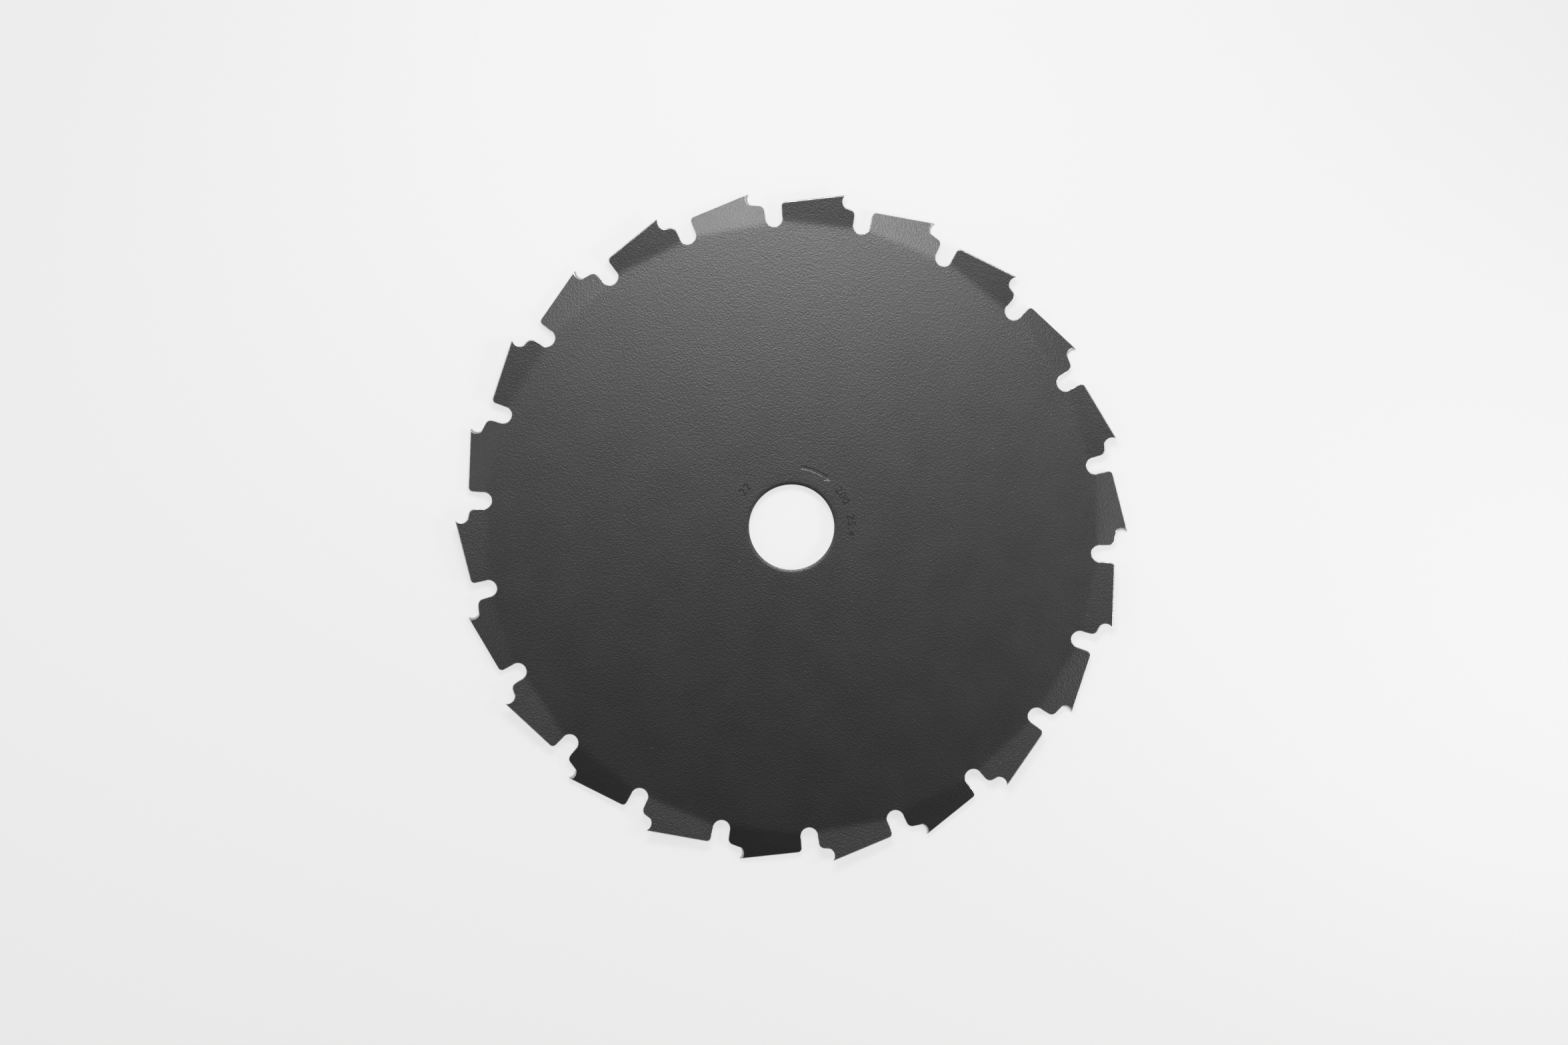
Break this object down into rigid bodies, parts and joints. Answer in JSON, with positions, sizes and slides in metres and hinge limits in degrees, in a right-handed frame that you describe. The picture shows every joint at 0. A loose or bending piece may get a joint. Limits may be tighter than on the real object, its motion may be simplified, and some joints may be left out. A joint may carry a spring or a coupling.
{
  "type": "brush cutter blade",
  "caption": "Flat round steel saw blade for a brush cutter, with a plain centre bore and chisel teeth set to alternate sides between round-bottomed slots.",
  "frame": {"origin": "on the bore's axis, at half the thickness of the flat disc", "axes": "+Z along the bore towards the face with the drawn bore edge; seen from +Z the teeth point clockwise; +X and +Y are to the right and up as the blade lies in its picture"},
  "size_m": [0.1999, 0.1983, 0.0042],
  "materials": {
    "blade_steel": "dull dark grey rolled sheet, hardened and tempered, with bright filed edges"
  },
  "bodies": {
    "root": {"brush_cutter_blade": "blade_steel"}
  },
  "joints": []
}
